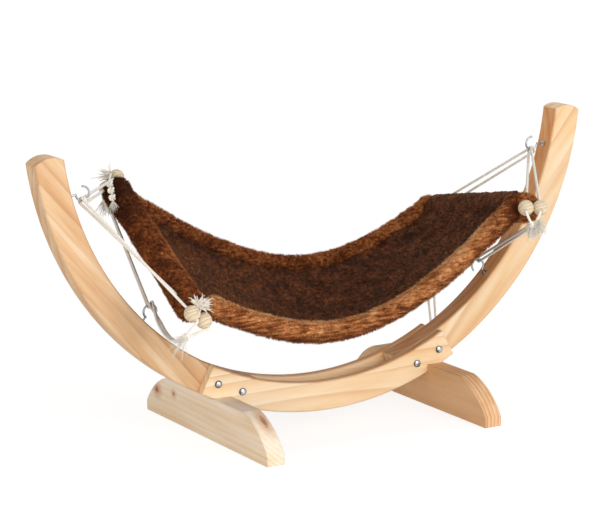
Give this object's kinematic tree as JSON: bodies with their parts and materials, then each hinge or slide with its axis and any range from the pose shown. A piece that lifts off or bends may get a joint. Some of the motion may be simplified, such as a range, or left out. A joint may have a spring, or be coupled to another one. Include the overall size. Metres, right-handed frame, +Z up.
{
  "type": "cat hammock",
  "caption": "Plush sling bed with a padded rim, hung on cords from screw hooks between the raised tips of a bowed wooden stand on cross feet",
  "frame": {"origin": "on the floor under the middle of the stand", "axes": "X along the bow from left tip to right tip, +Y toward the rear, +Z up"},
  "size_m": [0.7612, 0.3257, 0.3616],
  "materials": {
    "arm_wood": "sanded clear pine with straight grain",
    "cheek_wood": "sanded clear pine, paler",
    "foot_wood": "sanded pine with small knots",
    "hook_wire": "bright zinc plated wire",
    "fixing_steel": "polished domed steel",
    "rim_plush": "short brown plush",
    "panel_plush": "short dark brown plush",
    "rod_wood": "plain dowel",
    "bead_wood": "pale turned wood",
    "cord_cotton": "braided white cotton"
  },
  "bodies": {
    "stand": {"left_arm": "arm_wood", "right_arm": "arm_wood", "front_cheek": "cheek_wood", "rear_cheek": "cheek_wood", "left_foot": "foot_wood", "right_foot": "foot_wood", "cheek_bolts": "fixing_steel", "cap_nuts": "fixing_steel", "foot_screws": "fixing_steel", "left_top_hook": "hook_wire", "right_top_hook": "hook_wire", "left_low_hook": "hook_wire", "right_low_hook": "hook_wire"},
    "hammock": {"left_rod": "rod_wood", "right_rod": "rod_wood", "left_roll": "rim_plush", "right_roll": "rim_plush", "front_roll": "rim_plush", "rear_roll": "rim_plush", "mat_panel": "panel_plush", "front_left_beads": "bead_wood", "rear_left_beads": "bead_wood", "front_right_beads": "bead_wood", "rear_right_beads": "bead_wood", "front_left_cord": "cord_cotton", "rear_left_cord": "cord_cotton", "front_right_cord": "cord_cotton", "rear_right_cord": "cord_cotton", "front_left_tie": "cord_cotton", "rear_left_tie": "cord_cotton", "front_right_tie": "cord_cotton", "rear_right_tie": "cord_cotton"}
  },
  "joints": [
    {"name": "hammock_swing", "type": "hinge", "parent": "stand", "child": "hammock", "pos_m": [0, 0, 0.3055], "axis": [1, 0, 0], "range_deg": [-8, 8], "deforming": ["front_left_tie", "rear_left_tie", "front_right_tie"]}
  ]
}
